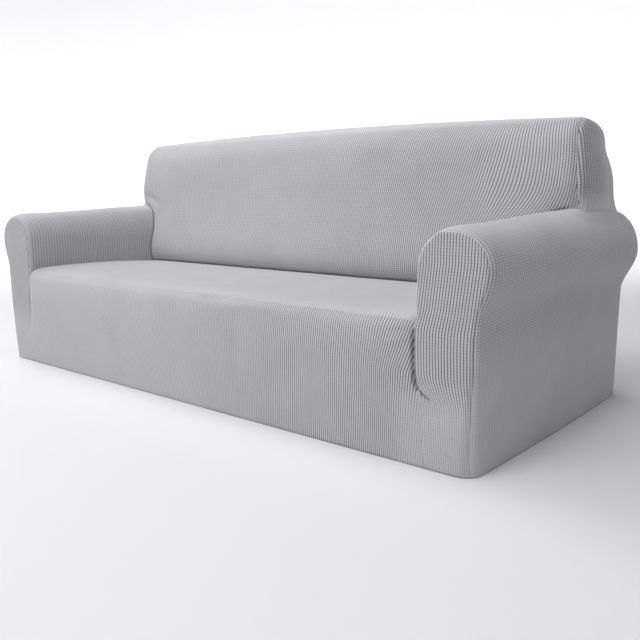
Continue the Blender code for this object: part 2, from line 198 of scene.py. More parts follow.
STITCH_EDGE = (0.22, 0.44)    # where a groove begins and is full, in stitches from a rib's middle
MOTTLE_SCALE = 9.0
MOTTLE_SHADE = 0.03
FIBRE_SCALE = 420.0
FIBRE_SHADE = 0.07
FIBRE_RELIEF = 0.15

# How clearly the ribs and the rows of stitches show, from 0 to 1
Clear = namedtuple("Clear", "ribs rows")
SKIRT_CLEAR = Clear(0.85, 0.35)
DART_CLEAR = Clear(1.0, 0.20)
SEAT_CLEAR = Clear(0.45, 0.30)
ARM_FRONT_CLEAR = Clear(0.95, 0.50)
ARM_FRONT_FOOT_CLEAR = Clear(0.50, 0.35)
BACK_CLEAR = Clear(0.85, 0.60)
SLACK = 0.55             # share of that which is left where the cloth hangs slack, on the left
SLACK_END = Ramp(-0.20, 0.80)
TOP_SLACK = 0.10         # and on the top of the back
BACK_TOP = Ramp(0.875, 0.02)
SKIRT_FOOT = Ramp(0.16, 0.06)
SKIRT_ENDS = Ramp(0.82, 0.08)
BESIDE_DART = Ramp(0.74, 0.10)
ARM_FRONT_RISE = Ramp(0.13, 0.11)
INNER_ARM_CLEAR = Clear(0.50, 0.45)
INNER_ARM_X = ROLL_CENTRE_X - 0.05
ARM_FOOT_CLEAR = Clear(0.18, 0.35)
ARM_ROLL_CLEAR = Clear(0.42, 0.85)
ARM_TOP_CLEAR = Clear(0.12, 0.72)
ARM_RISE = Ramp(0.20, 0.20)
ARM_TOP = Ramp(0.55, 0.03)
ARCH_RIBS = 0.55         # how clear the ribs of an arm are just behind the arch
ARCH_REACH = 0.06
ARCH_FOOT = Ramp(0.33, 0.08)
ARCH_TOP = Ramp(0.535, 0.04)
END_FRONT_CLEAR = Clear(0.85, 0.95)
END_REAR_CLEAR = Clear(0.12, 0.15)
END_REAR = Ramp(0.78, 0.12)
END_FOOT = Ramp(0.62, 0.07)
END_FOOT_SHARE = 0.3

PIECES = ("seat_skirt_and_arm_fronts", "arm_right", "arm_left", "inside_back",
          "back_end_right", "back_end_left", "outside_back")
Cut = namedtuple("Cut", "width length area rests_on")

# How the cloth turns at a seam: the radius of the turn (below 0 in a hollow), depth and width of
# the groove, height and distance of the puff beside it, and how unevenly the puff is gathered
Draw = namedtuple("Draw", "radius depth width puff reach gather")
SEAM_DRAWS = {
    "arch": Draw(0.014, 0.0004, 0.0030, 0.0005, 0.009, 1.5),
    "side": Draw(0.044, 0.0, 0.0050, 0.0, 0.012, 0.0),
    "tuck": Draw(0.0, 0.0012, 0.0045, 0.0, 0.015, 0.0),
    "corner": Draw(0.012, 0.0008, 0.0040, 0.0006, 0.012, 0.5),
    "end_front": Draw(0.034, 0.0, 0.0040, 0.0, 0.012, 0.0),
    "end_top": Draw(0.009, 0.0004, 0.0030, 0.0005, 0.010, 0.8),
    "end_foot": Draw(-0.070, 0.0, 0.0040, 0.0, 0.012, 0.0),
}
SIDE_TURN_Z = (0.33, 0.45)    # between these heights the arch seam's tight turn becomes the side's
SIDE_TURN_GROWTH = -0.030     # how much tighter the side's turn is there than at the hem
SIDE_TURN_X = SIDE_X - 0.1
FRONT_DEPTH = 0.006           # a seam of the front piece in front of this is the arch or the side
FOOT_TURN_FADE = 0.140        # the hollow at the foot of a back end dies out this far from the rear
GATHER_LENGTH = 0.009
PUFF_WIDTH = 0.7              # of the puff's distance from its seam
PUFF_END = 2.6
ROUND_PASSES = 3
BODY_SMOOTHING = 0.5
HEM_SMOOTHING = 0.3

# Folds, in millimetres: soft ridges (rise above 0) and troughs, through points of the laid cloth.
# Each grows and dies out over the length called fade.
Fold = namedtuple("Fold", "width rise fade path")
DART = ((890.5, -1, 370), (890.5, -3, 305), (892, -3, 265), (897, -3, 215))
DART_HOOK = ((893, -3, 250), (898, -3, 212), (907, -4, 195), (920, -5, 183), (935, -6, 175),
             (952, -7, 166))
LEFT_DART = ((-891, -1, 370), (-892, -3, 300), (-896, -3, 230), (-903, -3, 150))
FOLDS = (
    # the dart at the right arm, which hooks outwards at its foot, and the slack round it
    Fold(3.4, -12, 70, DART),
    Fold(4, -13, 22, DART_HOOK),
    Fold(5, 1.6, 35, ((925, -2, 180), (966, -6, 132), (992, -6, 70))),
    Fold(5, 1.4, 35, ((912, 0, 165), (941, -4, 114), (958, -4, 50))),
    Fold(6, -2.2, 22, ((884, -2, 338), (850, -11, 336), (815, -14, 330))),
    Fold(7, 2.4, 22, ((884, -1, 316), (850, -16, 312), (812, -18, 303))),
    Fold(7, -1.8, 22, ((884, 0, 290), (855, -17, 286), (822, -20, 276))),
    Fold(8, 1.8, 22, ((884, 0, 258), (858, -16, 250), (826, -20, 236))),
    Fold(7, -1.6, 22, ((886, 0, 226), (860, -15, 216), (830, -18, 200))),
    # the fainter one at the left arm
    Fold(4.5, -3, 90, LEFT_DART),
    # the tuck where the back meets the seat
    Fold(5, -2, 50, ((-880, SEAT_CREASE_Y * 1000, 375), (880, SEAT_CREASE_Y * 1000, 375))),
    # waves along the front edge of the seat
    Fold(11, -3.2, 40, ((115, -10, 348), (206, -3, 357), (290, 8, 366))),
    Fold(16, 3, 60, ((190, -14, 330), (330, -8, 346), (470, -4, 354))),
    Fold(12, -3.4, 50, ((455, 10, 368), (535, 36, 378), (610, 80, 383))),
    Fold(15, 3, 50, ((500, -4, 356), (600, 4, 364), (700, 20, 373))),
    Fold(14, 3.4, 40, ((765, 2, 362), (815, 14, 372), (868, 16, 371))),
    Fold(14, -2.8, 50, ((-345, -4, 358), (-355, 36, 378), (-435, 125, 384))),
    # long soft waves down the skirt
    Fold(24, -2.6, 80, ((285, -10, 335), (298, -19, 240), (290, -10, 120))),
    Fold(26, -2.4, 80, ((500, -12, 340), (520, -20, 250), (530, -10, 110))),
    Fold(24, -2.4, 80, ((690, -12, 335), (702, -20, 240), (715, -10, 120))),
    Fold(30, 2, 80, ((400, -12, 330), (405, -20, 230), (400, -10, 90))),
    Fold(26, -2.4, 80, ((-300, -10, 335), (-310, -19, 230), (-300, -10, 100))),
    # a pull in the back near its right end, and the pinch at its left end
    Fold(9, -1.8, 60, ((690, 654, 820), (708, 645, 756), (717, 638, 700), (722, 627, 640))),
    Fold(16, -6, 60, ((-860, 618, 620), (-930, 632, 650), (-1005, 648, 672))),
    # a faint fold inside the left arm
    Fold(8, 1.6, 30, ((-891, 150, 480), (-891, 158, 430), (-891, 160, 385))),
    # folds across the right end of the back, where it turns to the rear
    Fold(12, 2.2, 50, ((1020, 840, 800), (1030, 850, 730), (1028, 840, 650))),
    Fold(7, -6, 30, ((995, 950, 830), (988, 985, 820), (974, 1010, 812))),
    Fold(6, -5, 25, ((1004, 945, 788), (996, 980, 782), (980, 1014, 776))),
)
# Shade painted into the knit's colour along the darts' creases, also in millimetres
DartShade = namedtuple("DartShade", "shade width fade path")
DART_SHADES = (DartShade(0.62, 2.6, 70, DART[:3] + DART_HOOK[1:]),
           DartShade(0.40, 3.2, 80, LEFT_DART))

CAMERA_PLACE = (1.796, -1.9425, 0.643)
CAMERA_TURN = math.radians(39.68)
CAMERA_DOWN = math.radians(9.44)
CAMERA_ROLL = math.radians(0.18)
FOCAL_PIXELS = 716.565
PICTURE_PIXELS = 640
SENSOR = 36.0

Light = namedtuple("Light", "name size place colour")
LIGHTS = (Light("front_light", 3.5, (0.3, -4.0, 5.0), (1.0, 1.0, 1.0)),
          Light("left_light", 3.5, (-4.0, 0.0, 5.0), (1.0, 1.0, 1.0)),
          Light("key_light", 2.6, (-1.1, -1.9, 4.0), (1.0, 1.0, 1.0)),
          Light("top_light", 2.4, (1.4, 0.0, 6.5), (0.88, 0.91, 1.0)))
LIGHTS_AIM = (0.0, 0.0, 0.4)
FLOOR_RADIUS = 6.0
FLOOR_SIDES = 96
FLOOR_LEVEL = -0.0005
# How far each ring of the floor's rim widens, and how far it rises above the one before
RIM_RINGS = ((1.06, 0.02), (1.05, 0.08), (1.04, 0.20), (1.02, 0.45), (1.0, 3.6))
GLOW_REACH = (1.0, 5.5)    # how far off behind the cover the floor's glow begins and is full


# ---------------------------------------------------------------- where the cloth lies
def curve(a, b, slope_a, slope_b, t):
    """A place on the smooth curve from a to b, at the share t of the way."""
    return ((2 * t**3 - 3 * t**2 + 1) * a + (t**3 - 2 * t**2 + t) * slope_a
            + (3 * t**2 - 2 * t**3) * b + (t**3 - t**2) * slope_b)


def along(knots, at):
    """The value at one place on a smooth curve through the knots, whose places ascend."""
    last = len(knots) - 1
    k = 0
    while k < last - 1 and at > knots[k + 1].at:
        k += 1
    a, b = knots[k], knots[k + 1]
    before, after = knots[max(k - 1, 0)], knots[min(k + 2, last)]
    span = b.at - a.at
    t = min(max((at - a.at) / span, 0.0), 1.0)
    slope_a = (b.value - before.value) / (b.at - before.at) * span
    slope_b = (after.value - a.value) / (after.at - a.at) * span
    return curve(a.value, b.value, slope_a, slope_b, t)


def through(points, at):
    """A place on a smooth curve through points, where at counts the points."""
    last = len(points) - 1
    k = min(max(int(at), 0), last - 1)
    t = at - k
    a, b = Vector(points[k]), Vector(points[k + 1])
    before, after = Vector(points[max(k - 1, 0)]), Vector(points[min(k + 2, last)])
    slope_a = (b - before) * (0.5 if k > 0 else 1.0)
    slope_b = (after - a) * (0.5 if k < last - 1 else 1.0)
    return curve(a, b, slope_a, slope_b, t)


def between(values, at):
    """A value between the numbers of a list, where at counts them."""
    k = min(max(int(at), 0), len(values) - 2)
    return values[k] + (values[k + 1] - values[k]) * (at - k)


def mix(a, b, share):
    return a + (b - a) * share


def smooth(share):
    share = min(max(share, 0.0), 1.0)
    return share * share * (3.0 - 2.0 * share)


def ramp(at, rise):
    return smooth((at - rise.start) / rise.length)


def column_place(column):
    """A column's place across the cloth, from -1 to 1, crowded towards both ends."""
    u = 2.0 * column / COLUMNS - 1.0
    return u * (1.0 + EDGE_CROWDING * (1.0 - u * u))


def inward(c, power):
    """A share that is 1 in the middle of the cloth and falls to 0 at its ends, c = -1 and 1."""
    return 1.0 - min(abs(c), 1.0) ** power


def cushion_dip(x):
    """Depth of the hollows between the cushions, at x."""
    return CUSHION_DIP * sum(math.exp(-((x - side * CUSHION_DIP_X) / CUSHION_DIP_WIDTH) ** 2)
                             for side in (-1, 1))


def end_drop(c):
    """How far the seat has rolled down at a place across it, from -1 to 1."""
    end = SEAT_ENDS[1 if c > 0 else -1]
    turn = min(max((abs(c) - 1.0) * ARM_INNER_X / end.width + 1.0, 0.0), 1.0)
    return end.drop * (1.0 - math.sqrt(1.0 - turn * turn))


def seat_edge(station, side):
    """Where the seat meets the inner arm at a station along the arm."""
    y = between(STATIONS, station) * SEAT_CREASE_Y / BACK_CREST_Y
    return Vector((ARM_INNER_X, y, along(SEAT_HEIGHT, y) - end_drop(side)))


def arm_section(row, y):
    """One point of the arm's section at a place along the arm."""
    top = along(ROLL_TOP, y)
    reach = along(ROLL_REACH, y)
    side = SIDE_X + SIDE_BELLY * math.sqrt(max(math.sin(math.pi * y / DEPTH), 0.0))
    if row <= CREST_ROW:
        turn = max(row - FOOT_ROWS, 0) / INNER_ROLL_ROWS
        angle = mix(math.pi, CREST_ANGLE, turn)
    else:
        angle = CREST_ANGLE * max(REACH_ROW - row, 0) / OUTER_ROLL_ROWS
    radius = ROLL_CENTRE_X - ARM_INNER_X if angle > math.pi / 2 else reach - ROLL_CENTRE_X
    x = ROLL_CENTRE_X + radius * math.cos(angle)
    z = ROLL_CENTRE_Z + (top - ROLL_CENTRE_Z) * math.sin(angle)
    if row > REACH_ROW:
        down = min((row - REACH_ROW) / UNDER_ROWS, 1.0)
        x = mix(side, reach, 0.5 + 0.5 * math.cos(math.pi * down))
        z = mix(ROLL_CENTRE_Z, ROLL_UNDER_Z, down)
    if row > SIDE_ROW:
        z = ROLL_UNDER_Z * (HEM_ROW - row) / SIDE_ROWS
    return x, z


def arm_point(row, station, side=1):
    """A point of an arm's cloth: rows go over the arm, stations go along it."""
    y = between(STATIONS, station)
    x, z = arm_section(row, y)
    if row >= CREST_ROW:
        if station > BACK_STATION and row < REACH_ROW:
            web = ((station - BACK_STATION) / (LAST_STATION - BACK_STATION)) ** 2
            web *= smooth((REACH_ROW - row) / OUTER_ROLL_ROWS)
            crest_x, crest_z = arm_section(CREST_ROW, y)
            x += (REAR_CREST.x - crest_x) * web
            z += (REAR_CREST.z - crest_z) * web
        return Vector((x, y, z))
    edge = seat_edge(station, side)
    if row < FOOT_ROWS:
        z = mix(edge.z, ROLL_CENTRE_Z, row / FOOT_ROWS)
        rear_y = along(BACK_FACE, mix(SEAT_CREASE_Z, ROLL_CENTRE_Z, row / FOOT_ROWS))
    else:
        rear_y = mix(along(BACK_FACE, z), BACK_CREST_Y, ((row - FOOT_ROWS) / INNER_ROLL_ROWS) ** 2)
    return Vector((x, y * rear_y / BACK_CREST_Y, z))


def skirt_point(column, row):
    """A point of the front skirt, from the seat edge (row 0) down to the hem."""
    c = column_place(column)
    middle_z = between([dart.z for dart in DARTS], row)
    dart_y = between([dart.y for dart in DARTS], row)
    side = 1 if c > 0 else -1
    shift = through([(dart.shift, 0.0, 0.0) for dart in DARTS], row).x * DART_SHIFT[side]
    x = c * (ARM_INNER_X + shift * abs(c) ** 3)
    bulge = along(SKIRT, middle_z)
    dip = cushion_dip(x) * (middle_z / SEAT_EDGE_Z) ** 3
    z = middle_z - end_drop(c) * max(1.0 - (SEAT_EDGE_Z - middle_z) / SEAT_END_FADE, 0.0)
    return Vector((x, mix(dart_y, bulge + dip, inward(c, SKIRT_FULL_WIDTH[side])), z))


def seat_point(column, station):
    """A point of the seat, from its front edge (station 0) back to the crease."""
    if station == 0:
        return skirt_point(column, 0)
    c = column_place(column)
    x = c * ARM_INNER_X
    y = between(STATIONS, station) * SEAT_CREASE_Y / BACK_CREST_Y
    dip = cushion_dip(x) * inward(c, FULL_WIDTH)
    back = dip * max(1.0 - y / SEAT_TURN, 0.0)
    down = dip * math.sqrt(max(math.sin(math.pi * y / SEAT_CREASE_Y), 0.0)) + end_drop(c)
    return Vector((x, y + back, along(SEAT_HEIGHT, y) - down))


def front_seam(row, side=1):
    """The side edge of the inside back: up the arm, up the end's front seam, over the top."""
    if row <= CREST_ROW:
        return arm_point(row, BACK_STATION, side)
    if row <= FACE_ROWS:
        return through((arm_point(CREST_ROW, BACK_STATION),) + FRONT_SEAM, row - CREST_ROW)
    return through(FRONT_SEAM[-1:] + TOP_SEAM, row - FACE_ROWS)


def rear_seam(row):
    """The side edge of the outside back, from the hem (row 0) up to the top."""
    arm_rows = HEM_ROW - CREST_ROW
    if row <= arm_rows:
        return arm_point(HEM_ROW - row, LAST_STATION)
    return through((arm_point(CREST_ROW, LAST_STATION),) + REAR_SEAM, row - arm_rows)


def inside_back_point(column, row):
    """A point of the inside back, from the crease (row 0) up its face and over the top."""
    if row == 0:
        return seat_point(column, BACK_STATION)
    c = column_place(column)
    edge = front_seam(row, 1 if c > 0 else -1)
    crown = BACK_CROWN * inward(c, CROWN_POWER)
    if row > FACE_ROWS:
        return Vector((c * edge.x, edge.y, edge.z + crown))
    up = row / FACE_ROWS
    middle_z = mix(SEAT_CREASE_Z, FRONT_SEAM[-1].z, up)
    middle_y = along(BACK_FACE, middle_z + BACK_CROWN * up) - BACK_BELLY * math.sin(math.pi * up)
    flat = inward(c, BACK_FULL_WIDTH)
    end_z = edge.z + (crown * up if row > CREST_ROW else 0.0)
    place = Vector((c * edge.x, mix(edge.y, middle_y, flat),
                    mix(end_z, middle_z + crown * up, flat)))
    return seat_point(column, BACK_STATION).lerp(place, smooth(row))


def outside_back_point(column, row):
    """A point of the outside back, from the hem (row 0) up to the top."""
    c = column_place(column)
    edge = rear_seam(row)
    arm_rows = HEM_ROW - CREST_ROW
    risen = max(row - arm_rows, 0) / END_ROWS
    crown = BACK_CROWN * inward(c, CROWN_POWER) * risen
    belly = REAR_BELLY * inward(c, BELLY_POWER) * (1.0 - smooth(risen * END_ROWS - END_ROWS + 1.0))
    return Vector((c * edge.x, edge.y + belly, edge.z + crown))


def back_end_point(station, row):
    """A point of the back's end, which fills in between its four seams."""
    r = (station - BACK_STATION) / TOP_ROWS
    w = row / END_ROWS
    bottom = arm_point(CREST_ROW, station)
    top = front_seam(FACE_ROWS + station - BACK_STATION)
    front = front_seam(CREST_ROW + row)
    rear_crest = HEM_ROW - CREST_ROW
    rear = rear_seam(rear_crest + row)
    low_corners = front_seam(CREST_ROW).lerp(rear_seam(rear_crest), r)
    high_corners = front_seam(FACE_ROWS).lerp(rear_seam(rear_crest + END_ROWS), r)
    place = bottom.lerp(top, w) + front.lerp(rear, r) - low_corners.lerp(high_corners, w)
    swell = math.sin(math.pi * r**END_SWELL_EARLY) * math.sqrt(max(math.sin(math.pi * w), 0.0))
    place.x += END_SWELL * swell
    return place


def arm_front_edge(side):
    """The inner and the outer edge of an arm front, both from the apex down to the hem."""
    column = COLUMNS if side > 0 else 0
    inner = [arm_point(step / FINE, 0, side) for step in range(APEX_ROW * FINE, -1, -1)]
    for step in range(1, SKIRT_ROWS * FINE + 1):
        point = skirt_point(column, step / FINE)
        inner.append(Vector((abs(point.x), point.y, point.z)))
    outer = [arm_point(step / FINE, 0) for step in range(APEX_ROW * FINE, HEM_ROW * FINE + 1)]
    return inner, outer


def arm_front_point(share, rung, inner, outer):
    """A point of an arm front, from its inner edge to its outer edge; rung 0 is the apex."""
    point = inner[rung].lerp(outer[rung], share)
    point.y = inner[rung].y * (1.0 - share) ** DART_POWER
    swell = max(math.sin(math.pi * share), 0.0) ** ARM_BELLY_POWER
    if rung:
        point.y -= ARM_FRONT_BELLY * swell * min(point.z / HEM_RISE, 1.0)
    return point


# ---------------------------------------------------------------- where the ribs of the knit run
def reaches(place, steps):
    """Lengths along a line of the cloth, from its first step to each step."""
    lengths = [0.0]
    for step in range(1, steps + 1):
        lengths.append(lengths[-1] + (place(step) - place(step - 1)).length)
    return lengths


def leaning(lean, out):
    return lean.share * ramp(out, lean.across)


def skirt_ribs(x, z):
    """Which rib runs at a place of the seat or skirt. Going up they lean outwards to the darts."""
    out = abs(x)
    lean = leaning(SKIRT_LEAN, out) * max(SKIRT_LEAN_TOP - z, 0.0)
    lean += leaning(DART_LEAN, out) * (DART_LEAN_TOP - max(z, DART_LEAN_FOOT))
    return math.copysign(out + lean, x) / SKIRT_RIB_PITCH


def back_ribs(x, z):
    """Which rib runs at a place of the inside back. Going up they lean towards its ends, apart
    from the upper corners, and low down beside the arms they lean the most."""
    out = abs(x)
    height = min(max(z, BACK_LEAN_FOOT), BACK_LEAN_TOP)
    lean = leaning(BACK_LEAN, out) * (BACK_UPRIGHT - height)
    lean += leaning(CORNER_LEAN, out) * math.tanh((BACK_LEAN_TOP - height) / CORNER_LEAN_TURN)
    lean += leaning(BACK_FOOT_LEAN, out) * max(BACK_FOOT_TOP - height, 0.0) ** 2
    return math.copysign(out + lean, x) / RIB_PITCH


def arm_front_ribs(x, z):
    """Which rib runs at a place of an arm front: they lie closest below the dart's hook, where
    they fan out, and stand upright from there to the roll, which they follow at a slant."""
    pitch = mix(ARM_FRONT_FOOT_PITCH, ARM_FRONT_PITCH, ramp(z, ARM_FRONT_FOOT))
    pitch += (ARM_FRONT_TOP_PITCH - ARM_FRONT_PITCH) * ramp(z, ARM_FRONT_TOP)
    slant = ARM_FRONT_SLANT * min(max(z - ARM_FRONT_TOP.start, 0.0), ARM_FRONT_SLANT_HEIGHT)
    slant += ARM_FRONT_FOOT_SLANT * max(ARM_FRONT_FOOT_SLANT_TOP - z, 0.0)
    return (x - SIDE_X - slant) / pitch


def arm_rows(reach, y, row):
    """Which row of stitches runs at a place of an arm; outside they rise towards the rear."""
    outer = smooth((row - CREST_ROW) / OUTER_ROLL_ROWS)
    return (reach + ARM_ROWS_RISE * y * outer) / DOT_PITCH


def mix_clear(a, b, share):
    return Clear(mix(a.ribs, b.ribs, share), mix(a.rows, b.rows, share))


def slack_clear(clear, x, z):
    """The knit shows less on the left, and on the top of the back."""
    left = mix(SLACK, 1.0, ramp(x, SLACK_END))
    top = mix(1.0, TOP_SLACK, ramp(z, BACK_TOP))
    return Clear(clear.ribs * left * top, clear.rows * top)


def skirt_clear(p):
    """The skirt's ribs are clearest beside the right dart, and as faint below it as the arm
    front's."""
    up = ramp(p.z, SKIRT_FOOT)
    clear = mix_clear(slack_clear(SKIRT_CLEAR, p.x, p.z), ARM_FRONT_FOOT_CLEAR,
                      ramp(abs(p.x), SKIRT_ENDS) * (1.0 - up))
    return mix_clear(clear, DART_CLEAR, ramp(p.x, BESIDE_DART) * up)


def arm_front_clear(p):
    return mix_clear(ARM_FRONT_FOOT_CLEAR, ARM_FRONT_CLEAR, ramp(p.z, ARM_FRONT_RISE))


def arm_clear(p):
    """The arm's rows are clear on the roll, and its ribs inside the arm and behind the arch."""
    if abs(p.x) < INNER_ARM_X:
        return INNER_ARM_CLEAR
    clear = mix_clear(ARM_FOOT_CLEAR, ARM_ROLL_CLEAR, ramp(p.z, ARM_RISE))
    clear = mix_clear(clear, ARM_TOP_CLEAR, ramp(p.z, ARM_TOP))
    arch = math.exp(-(p.y / ARCH_REACH) ** 2) * (1.0 - ramp(p.z, ARCH_TOP)) * ramp(p.z, ARCH_FOOT)
    return Clear(mix(clear.ribs, ARCH_RIBS, arch), clear.rows)


def end_clear(p):
    """The end's knit is clear near the inside back and fades to the rear and to its foot."""
    share = (1.0 - ramp(p.y, END_REAR)) * mix(END_FOOT_SHARE, 1.0, ramp(p.z, END_FOOT))
    return mix_clear(END_REAR_CLEAR, END_FRONT_CLEAR, share)


# ---------------------------------------------------------------- laying the skin
def lay_cloth(skin, piece, columns, rows, place, knit, clear, side=1):
    """Lay a grid over a stretch of cloth, with its stitches counted in the skin's UV layer."""
    layer = skin.loops.layers.uv["knit"]
    ribs = skin.verts.layers.float["ribs"]
    lines = skin.verts.layers.float["rows"]
    made = bmesh.ops.create_grid(skin, x_segments=columns, y_segments=rows, size=1.0)
    stitches = {}
    for vert in made["verts"]:
        column = round((vert.co.x + 1.0) / 2.0 * columns)
        row = round((vert.co.y + 1.0) / 2.0 * rows)
        point = place(column, row)
        stitches[vert] = knit(column, row, point)
        vert[ribs], vert[lines] = clear(point)
        vert.co = Vector((point.x * side, point.y, point.z))
    for face in {face for vert in made["verts"] for face in vert.link_faces}:
        face.material_index = PIECES.index(piece)
        for loop in face.loops:
            loop[layer].uv = stitches[loop.vert]


def lay_skin(shape):
    """The whole cover as one welded skin. A face's material number is its cut piece."""
    skin = bmesh.new()
    skin.loops.layers.uv.new("knit")
    skin.verts.layers.float.new("ribs")
    skin.verts.layers.float.new("rows")
    # shade painted along the darts' creases, read by the knit's colour
    skin.verts.layers.float.new("dart_shade")
    front = PIECES[0]
    wide = COLUMNS * COLUMN_FINE
    arm_steps = BACK_STATION * FINE
    mid = COLUMNS / 2

    seat_reach = reaches(lambda s: seat_point(mid, s / FINE), arm_steps)
    lay_cloth(skin, front, wide, arm_steps,
              lambda column, s: seat_point(column / COLUMN_FINE, s / FINE),
              lambda column, s, p: (skirt_ribs(p.x, SEAT_EDGE_Z), seat_reach[s] / DOT_PITCH),
              lambda p: SEAT_CLEAR)
    skirt_reach = reaches(lambda s: skirt_point(mid, s / FINE), SKIRT_ROWS * FINE)
    lay_cloth(skin, front, wide, SKIRT_ROWS * FINE,
              lambda column, s: skirt_point(column / COLUMN_FINE, s / FINE),
              lambda column, s, p: (skirt_ribs(p.x, p.z), -skirt_reach[s] / DOT_PITCH), skirt_clear)
    back_steps = (FACE_ROWS + TOP_ROWS) * FINE
    back_reach = reaches(lambda s: inside_back_point(mid, s / FINE), back_steps)
    lay_cloth(skin, "inside_back", wide, back_steps,
              lambda column, s: inside_back_point(column / COLUMN_FINE, s / FINE),
              lambda column, s, p: (back_ribs(p.x, p.z), back_reach[s] / DOT_PITCH),
              lambda p: slack_clear(BACK_CLEAR, p.x, p.z))
    rear_steps = (HEM_ROW - CREST_ROW + END_ROWS) * FINE
    rear_reach = reaches(lambda s: outside_back_point(mid, s / FINE), rear_steps)
    lay_cloth(skin, "outside_back", wide, rear_steps,
              lambda column, s: outside_back_point(column / COLUMN_FINE, s / FINE),
              lambda column, s, p: (p.x / RIB_PITCH, rear_reach[s] / DOT_PITCH),
              lambda p: BACK_CLEAR)

    arm_reach = reaches(lambda s: arm_point(s / FINE, 5), HEM_ROW * FINE)
    crest = CREST_ROW * FINE
    for side, name in ((1, "right"), (-1, "left")):
        inner, outer = arm_front_edge(side)

        def front_place(column, rung):
            share = between(ARM_FRONT_COLUMNS, column / FRONT_FINE)
            return arm_front_point(share, rung, inner, outer)

        lay_cloth(skin, front, (len(ARM_FRONT_COLUMNS) - 1) * FRONT_FINE, len(inner) - 1,
                  front_place,
                  lambda column, rung, p: (arm_front_ribs(p.x, p.z), p.z / DOT_PITCH),
                  arm_front_clear, side)
        lay_cloth(skin, "arm_" + name, HEM_ROW * FINE, arm_steps,
                  lambda r, s: arm_point(r / FINE, s / FINE, side),
                  lambda r, s, p: (p.y / ARM_RIB_PITCH, arm_rows(arm_reach[r], p.y, r / FINE)),
                  arm_clear, side)
        lay_cloth(skin, "arm_" + name, HEM_ROW * FINE - crest, TOP_ROWS * FINE,
                  lambda r, s: arm_point(CREST_ROW + r / FINE, BACK_STATION + s / FINE),
                  lambda r, s, p: (p.y / ARM_RIB_PITCH,
                                   arm_rows(arm_reach[crest + r], p.y, (crest + r) / FINE)),
                  arm_clear, side)
        lay_cloth(skin, "back_end_" + name, TOP_ROWS * FINE, END_ROWS * FINE,
                  lambda s, r: back_end_point(BACK_STATION + s / FINE, r / FINE),
                  lambda s, r, p: (p.y / END_RIB_PITCH, p.z / DOT_PITCH), end_clear, side)
    bmesh.ops.remove_doubles(skin, verts=skin.verts, dist=FLOOR_TOUCH)
    bmesh.ops.recalc_face_normals(skin, faces=skin.faces)
    if max(skin.faces, key=lambda face: face.calc_center_median().z).normal.z < 0:
        bmesh.ops.reverse_faces(skin, faces=skin.faces)
    finish_shape(skin, shape)
    bmesh.ops.translate(skin, verts=skin.verts, vec=(0.0, FRONT_PLANE, 0.0))
    skin.normal_update()
    skin.verts.index_update()
    skin.faces.index_update()
    return skin


def seam_kind(vert):
    """Which kind of seam passes through a point, or None inside a piece."""
    pieces = {PIECES[face.material_index] for face in vert.link_faces}
    if len(pieces) < 2:
        return None
    if "outside_back" in pieces:
        return "corner"
    if any(piece.startswith("back_end") for piece in pieces):
        if "inside_back" not in pieces:
            return "end_foot"
        return "end_front" if vert.co.y < END_STATIONS[0] else "end_top"
    if PIECES[0] in pieces and vert.co.y < FRONT_DEPTH:
        inner = abs(vert.co.x) < SIDE_TURN_X
        return "arch" if inner or vert.co.z > SIDE_TURN_Z[0] else "side"
    return "tuck"


def seam_tree(seam):
    """The points of a seam, for finding the one nearest to a place."""
    tree = kdtree.KDTree(len(seam))
    for number, vert in enumerate(seam):
        tree.insert(vert.co, number)
    tree.balance()
    return tree


def turn_radius(kind, place):
    """How round the cloth turns at a place of a seam."""
    low, high = SIDE_TURN_Z
    radius = SEAM_DRAWS[kind].radius
    if kind == "side":
        return radius + SIDE_TURN_GROWTH * smooth(place.z / low)
    if kind == "end_foot":
        return radius * smooth((DEPTH - place.y) / FOOT_TURN_FADE)
    if kind == "arch" and place.z < high and abs(place.x) > SIDE_X:
        side = SEAM_DRAWS["side"].radius + SIDE_TURN_GROWTH
        return mix(side, radius, smooth((place.z - low) / (high - low)))
    return radius


def round_seam(skin, kind, seam):
    """Turn the cloth round at a seam, instead of over a sharp edge."""
    tree = seam_tree(seam)
    turned = []
    normals = [vert.normal.copy() for vert in seam]
    for vert in skin.verts:
        foot, number, distance = tree.find(vert.co)
        radius = turn_radius(kind, foot)
        if distance < abs(radius):
            turned.append(vert)
            reach = abs(radius)
            inset = reach - (distance + math.sqrt(2.0 * reach * reach - distance * distance)) / 2.0
            move = normals[number] * (-math.copysign(inset * math.sqrt(2.0), radius))
            if vert.co.z < FLOOR_TOUCH:
                move.z = 0.0
            vert.co += move
    hem = [vert for vert in turned if vert.co.z < FLOOR_TOUCH]
    body = [vert for vert in turned if vert.co.z >= FLOOR_TOUCH]
    for _ in range(ROUND_PASSES):
        bmesh.ops.smooth_vert(skin, verts=body, factor=BODY_SMOOTHING,
                              use_axis_x=True, use_axis_y=True, use_axis_z=True)
        bmesh.ops.smooth_vert(skin, verts=hem, factor=HEM_SMOOTHING,
                              use_axis_x=True, use_axis_y=True, use_axis_z=False)
    skin.normal_update()


